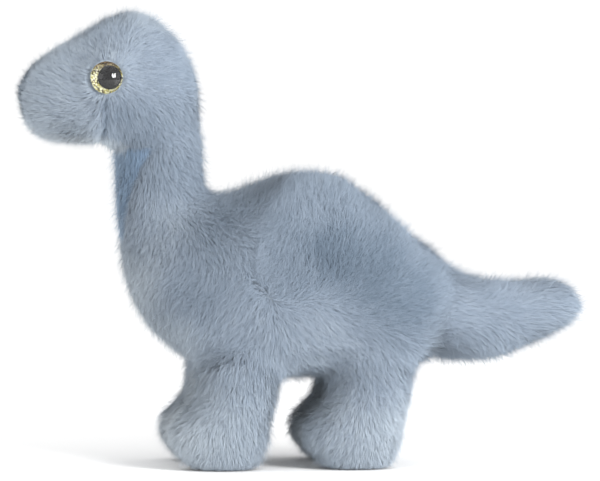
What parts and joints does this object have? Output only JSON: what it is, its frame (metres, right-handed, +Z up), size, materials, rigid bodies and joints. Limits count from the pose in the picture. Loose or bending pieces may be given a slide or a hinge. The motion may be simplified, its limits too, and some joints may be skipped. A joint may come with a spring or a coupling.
{
  "type": "stuffed dinosaur",
  "caption": "Soft plush long-necked dinosaur standing on four legs, in blue-grey fur fabric with glitter eyes; neck, head, tail and legs bend softly.",
  "frame": {"origin": "middle of the object's box, on the plane of the soles", "axes": "+Z up, -X towards the head, +X towards the tail, -Y is the toy's left side"},
  "size_m": [0.2852, 0.0976, 0.2291],
  "materials": {
    "pile": "dense blue-grey fur fabric, soft pile about 6 mm long on a knitted backing",
    "throat_pile": "the same fur fabric, bluer, with its nap laid another way",
    "filling": "loose white fibre filling",
    "eye_clear": "clear polished dome",
    "eye_glitter": "pale gold glitter film on a disc",
    "eye_black": "glossy black",
    "washer_white": "white moulded washer"
  },
  "bodies": {
    "torso": {"torso_side_left": "pile", "torso_side_right": "pile", "belly_gusset": "pile", "torso_filling": "filling"},
    "neck": {"neck_side_left": "pile", "neck_side_right": "pile", "throat_panel": "throat_pile", "neck_filling": "filling"},
    "head": {"head_side_left": "pile", "head_side_right": "pile", "head_gusset": "pile", "chin_panel": "pile", "head_filling": "filling", "eye_dome_left": "eye_clear", "eye_iris_left": "eye_glitter", "eye_pupil_left": "eye_black", "eye_post_left": "eye_black", "eye_washer_left": "washer_white", "eye_dome_right": "eye_clear", "eye_iris_right": "eye_glitter", "eye_pupil_right": "eye_black", "eye_post_right": "eye_black", "eye_washer_right": "washer_white"},
    "tail": {"tail_side_left": "pile", "tail_side_right": "pile", "tail_filling": "filling"},
    "leg_front_left": {"leg_front_left_outer": "pile", "leg_front_left_inner": "pile", "leg_front_left_filling": "filling"},
    "leg_front_right": {"leg_front_right_outer": "pile", "leg_front_right_inner": "pile", "leg_front_right_filling": "filling"},
    "leg_hind_left": {"leg_hind_left_outer": "pile", "leg_hind_left_inner": "pile", "leg_hind_left_filling": "filling"},
    "leg_hind_right": {"leg_hind_right_outer": "pile", "leg_hind_right_inner": "pile", "leg_hind_right_filling": "filling"}
  },
  "joints": [
    {"name": "neck_bend", "type": "hinge", "parent": "torso", "child": "neck", "pos_m": [-0.07027, 0, 0.12804], "axis": [0, 1, 0], "range_deg": [-10, 10], "stiffness_Nm_per_rad": 1},
    {"name": "head_nod", "type": "hinge", "parent": "neck", "child": "head", "pos_m": [-0.07285, 0, 0.16495], "axis": [0, 1, 0], "range_deg": [-10, 10], "stiffness_Nm_per_rad": 0.8},
    {"name": "tail_wag", "type": "hinge", "parent": "torso", "child": "tail", "pos_m": [0.07056, 0, 0.07731], "axis": [0, 0, 1], "range_deg": [-12, 12], "stiffness_Nm_per_rad": 0.5},
    {"name": "leg_front_left_swing", "type": "hinge", "parent": "torso", "child": "leg_front_left", "pos_m": [-0.03492, -0.0275, 0.05195], "axis": [0, 1, 0], "range_deg": [-6, 15], "stiffness_Nm_per_rad": 0.8},
    {"name": "leg_front_right_swing", "type": "hinge", "parent": "torso", "child": "leg_front_right", "pos_m": [-0.03492, 0.0275, 0.05196], "axis": [0, 1, 0], "range_deg": [-6, 15], "stiffness_Nm_per_rad": 0.8},
    {"name": "leg_hind_left_swing", "type": "hinge", "parent": "torso", "child": "leg_hind_left", "pos_m": [0.03208, -0.0275, 0.04955], "axis": [0, 1, 0], "range_deg": [-15, 6], "stiffness_Nm_per_rad": 0.8},
    {"name": "leg_hind_right_swing", "type": "hinge", "parent": "torso", "child": "leg_hind_right", "pos_m": [0.03208, 0.0275, 0.04955], "axis": [0, 1, 0], "range_deg": [-15, 6], "stiffness_Nm_per_rad": 0.8}
  ]
}
